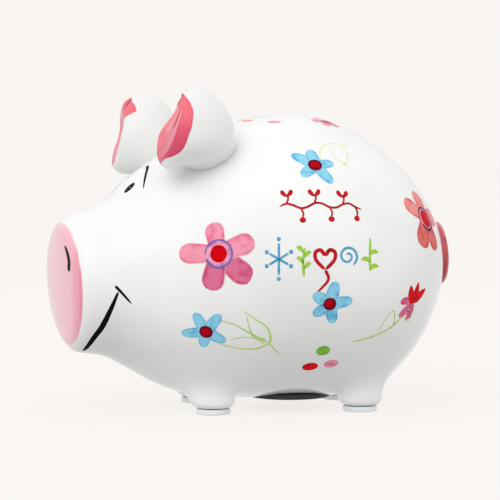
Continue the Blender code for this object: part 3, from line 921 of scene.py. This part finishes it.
    row = sheet((20.5, -56, 62.5), (0, -1, 0))
    for turn, reach in ((90, 6.6), (30, 4.6), (150, 4.6)):
        da, db = reach * math.cos(math.radians(turn)), reach * math.sin(math.radians(turn))
        line(row, "tealLine", [(-19 - da, 2 - db), (-19, 2), (-19 + da, 2 + db)], 0.5, 0.46)
        for way in (1, -1):
            dot(row, "tealLine", -19 + way * da * 1.22, 2 + way * db * 1.22, 0.85, 0.85, 0, 1,
                flip)
    line(row, "leafLine", [(-9, -5), (-9.4, 1), (-8.6, 6.5)], 0.55, 0.42)
    for b, way in ((-2.0, 1), (0.2, -1), (2.4, 1), (4.4, -1)):
        line(row, "leafLine", [(-9.1, b), (-9.1 + way * 1.6, b + 1.9), (-9.1 + way * 3.0, b + 2.2)],
             0.4, 0.6, capStart=0.2, capEnd=0.6, belly=0.4)
    for way in (1, -1):
        line(row, "wineRed", [(-0.6, -2.4), (-0.6 + way * 3.6, 1.4), (-0.6 + way * 3.9, 4.4),
                              (-0.6 + way * 1.8, 5.3), (-0.6, 3.0)], 0.7, 0.8)
    line(row, "wineRed", [(-0.6, -2.4), (0.8, -6), (-1.6, -9.5), (-3.6, -11.6)], 0.7, 0.4)
    curl = []
    for i in range(14):
        turn, radius = math.radians(-60 + 42 * i), 4.3 - 0.27 * i
        curl.append((8.6 + radius * math.cos(turn), 2.8 + radius * math.sin(turn)))
    line(row, "tealLine", curl, 0.55, 0.44)
    line(row, "leafLine", [(18.6, -3.4), (18.4, 3), (19.2, 10.5)], 0.62, 0.44)
    for way, b in ((1, -2.6), (-1, 0.4), (1, 3.4)):
        line(row, "leafLine", [(18.5, b), (18.5 + way * 2.0, b + 1.4), (18.5 + way * 4.2, b + 1.0)],
             0.45, 0.3, belly=0.55)


def headPoint(station, across, height):
    # a point by the head's own spine; across is positive on the far side
    return fromSpine(station * mm, across * mm, height * mm)


def face(near):
    way = -1 if near else 1

    def line(points, start, end, **more):
        knots = [headPoint(station, across * way, height) for station, across, height in points]
        stroke("blackLine", knots, start, end, **more)

    line([(-72.3, 6.5, 25.9), (-71.5, 17.3, 31.6), (-69.5, 22.7, 36.8), (-67.5, 26.7, 43.3),
          (-64.9, 29.4, 51.0)], 0.7, 0.45, capStart=0.1, capEnd=0.04, belly=0.6)
    line([(-66.2, 29.2, 53.4), (-63.2, 29.9, 50.1), (-59.8, 30.5, 46.2)], 0.6, 0.4,
         capStart=0.12, capEnd=0.3)
    apart = 0.0 if near else 4.5
    line([(-54.9, 7.4 + apart, 89.2), (-52.7, 7.6 + apart, 91.3), (-50.6, 7.7 + apart, 93.2)],
         2.0, 2.0, capStart=0.5, capEnd=0.5)
    line([(-49.9, 16.4 + apart, 91.0), (-47.5, 11.6 + apart, 95.2), (-44.5, 6.2 + apart, 98.7),
          (-43.2, 2.6 + apart, 100.1)], 0.35, 0.9, capStart=0.3, capEnd=0.2)
    if near:
        line([(-80.5, 8.6, 68.6), (-80.3, 11.5, 66.1), (-80.2, 13.6, 62.2), (-80.1, 12.6, 58.3)],
             0.5, 1.75, capStart=0.3, capEnd=0.16, belly=0.2)
    glint = [headPoint(station, (across + apart) * way, height)
             for station, across, height in ((-52.8, 8.0, 91.2), (-52.6, 8.0, 91.4),
                                             (-52.4, 8.0, 91.6))]
    stroke("eyeGlint", glint, 0.16, 0.16, 0.5, 0.5, 2)


for near in (True, False):
    flank(near)
    face(near)
print("strokes:", sum(len(group) for group in strokes.values()))

# wash and pooled colour of each paint, and what shows through at its edge
paints = {
    "pinkLight": (tone(238, 152, 174), tone(220, 106, 138), 0.45),
    "pinkDeep": (tone(218, 112, 146), tone(196, 70, 108), 0.45),
    "skyBlue": (tone(142, 208, 232), tone(84, 166, 208), 0.6),
    "coralLight": (tone(238, 150, 146), tone(220, 108, 108), 0.45),
    "coralDeep": (tone(222, 112, 106), tone(198, 78, 78), 0.45),
    "roseHalo": (tone(240, 160, 190), tone(190, 110, 160), 0.3),
    "violetLine": (tone(122, 104, 170), tone(84, 70, 140), 0.5),
    "redHeart": (tone(208, 4, 14), tone(184, 0, 10), 0.0),
    "plumHeart": (tone(92, 16, 44), tone(60, 6, 30), 0.3),
    "crimsonHeart": (tone(176, 8, 24), tone(146, 0, 20), 0.0),
    "paleGreen": (tone(190, 216, 120), tone(164, 200, 82), 0.6),
    "limeWash": (tone(224, 236, 176), tone(204, 224, 140), 0.6),
    "leafGreen": (tone(134, 190, 70), tone(96, 158, 48), 0.4),
    "scarlet": (tone(226, 22, 34), tone(186, 6, 22), 0.1),
    "wineRed": (tone(200, 28, 38), tone(132, 12, 26), 0.2),
    "tealLine": (tone(92, 170, 206), tone(54, 130, 172), 0.4),
    "leafLine": (tone(164, 208, 76), tone(132, 186, 52), 0.4),
    "blackLine": (tone(18, 18, 18), tone(6, 6, 6), 0.0),
    "eyeGlint": (tone(250, 250, 250), tone(236, 236, 236), 0.0),
}


def paint(name, wash, pooled, fade):
    made = Finish(name + "Paint", Roughness=glazeLook["roughness"],
                  Specular_IOR_Level=glazeLook["paintShine"])
    across = made.node("ShaderNodeSeparateXYZ", None, {
        0: made.node("ShaderNodeTexCoord", out="UV")}, "Y")
    edge = abs(across * 2.0 - 1.0)
    cloud = made.noise(320.0, 3.0)
    pool = (edge.above(0.45, 0.95) * 0.5 + cloud.above(0.35, 0.75) * 0.7).above(0.05, 1.0)
    colour = made.blend(pool, wash, pooled)
    if fade:
        thin = edge.above(0.86, 1.0) * fade
        colour = made.blend(thin, colour, glazeLook["white"])
    made.feed("Base Color", colour)
    made.feed("Roughness", made.noise(180.0) * 0.05 + (glazeLook["roughness"] - 0.02))
    return made


for colour, group in strokes.items():
    pick(*group)
    bpy.ops.object.join()
    skin = bpy.context.object
    skin.name = colour + "Brushwork"
    modify(skin, "SOLIDIFY", thickness=brush["skin"], offset=-1.0)
    smoothed(skin, 40)
    dress(skin, paint(colour, *paints[colour]))
    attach(skin, "shell")
print("brushwork done")


# camera, lights and floor

shot = {"target": Vector((0.0, 0.0, 0.065)), "turn": math.radians(10.0),
        "rise": math.radians(3.0), "distance": 0.90, "lens": 156.8, "shift": 0.0028}
studio = {"floor": tone(249, 245, 242), "floorLit": 0.12, "reach": 6.0,
          "key": (-0.9, -1.2, 1.4), "keySize": 1.3, "keyPower": 12.5,
          "sky": ((0.0, 0.36), (0.22, 0.74), (0.40, 0.92), (0.50, 0.82), (0.62, 0.88),
                  (1.0, 1.0))}


def camera():
    line = Vector((math.sin(shot["turn"]) * math.cos(shot["rise"]),
                   math.cos(shot["turn"]) * math.cos(shot["rise"]), -math.sin(shot["rise"])))
    bpy.ops.object.camera_add(location=shot["target"] - line * shot["distance"],
                              rotation=line.to_track_quat("-Z", "Y").to_euler())
    seen = bpy.context.object
    seen.data.lens = shot["lens"]
    seen.data.shift_x = shot["shift"]
    seen.data.clip_end = 50.0
    bpy.context.scene.camera = seen


def lights():
    world = bpy.data.worlds.new("studioSky")
    bpy.context.scene.world = world
    world.use_nodes = True
    tree = world.node_tree
    back = tree.nodes["Background"]
    way = tree.nodes.new("ShaderNodeTexCoord")
    parts = tree.nodes.new("ShaderNodeSeparateXYZ")
    span = tree.nodes.new("ShaderNodeMapRange")
    span.inputs["From Min"].default_value = -1.0
    ramp = tree.nodes.new("ShaderNodeValToRGB")
    stops = ramp.color_ramp.elements
    while len(stops) < len(studio["sky"]):
        stops.new(0.5)
    for stop, (place, level) in zip(stops, studio["sky"]):
        stop.position = place
        stop.color = (level, level, level, 1.0)
    tree.links.new(way.outputs["Generated"], parts.inputs[0])
    tree.links.new(parts.outputs["Z"], span.inputs["Value"])
    tree.links.new(span.outputs[0], ramp.inputs[0])
    tree.links.new(ramp.outputs[0], back.inputs["Color"])
    stand = Vector(studio["key"])
    bpy.ops.object.light_add(type="AREA", location=stand,
                             rotation=(shot["target"] - stand).to_track_quat("-Z", "Y").to_euler())
    key = bpy.context.object
    key.data.size = studio["keySize"]
    key.data.energy = studio["keyPower"]
    key.visible_glossy = False


def paleFloor():
    look = bpy.data.materials.new("paleFloor")
    look.use_nodes = True
    shader = look.node_tree.nodes["Principled BSDF"]
    lit = studio["floorLit"]
    pale = studio["floor"]
    shader.inputs["Base Color"].default_value = tuple(c * lit for c in pale[:3]) + (1.0,)
    shader.inputs["Roughness"].default_value = 0.9
    shader.inputs["Specular IOR Level"].default_value = 0.0
    shader.inputs["Emission Color"].default_value = pale
    shader.inputs["Emission Strength"].default_value = 1.0 - lit
    bpy.ops.mesh.primitive_circle_add(vertices=96, radius=studio["reach"], fill_type="NGON",
                                      location=(0, 0, -0.0001))
    floor = bpy.context.object
    floor.name = "floor"
    bpy.ops.mesh.primitive_uv_sphere_add(segments=64, ring_count=32, radius=studio["reach"])
    dome = bpy.context.object
    dome.name = "backdrop"
    wall = bpy.data.materials.new("paleBackdrop")
    wall.use_nodes = True
    shader = wall.node_tree.nodes["Principled BSDF"]
    shader.inputs["Base Color"].default_value = (0.0, 0.0, 0.0, 1.0)
    shader.inputs["Specular IOR Level"].default_value = 0.0
    shader.inputs["Emission Color"].default_value = pale
    shader.inputs["Emission Strength"].default_value = 1.0
    for thing, made in ((floor, look), (dome, wall)):
        thing.data.materials.append(made)
        thing.visible_diffuse = False
        thing.visible_glossy = False
    dome.visible_shadow = False


camera()
lights()
paleFloor()
bpy.context.scene.view_settings.view_transform = "Standard"
print("studio set")
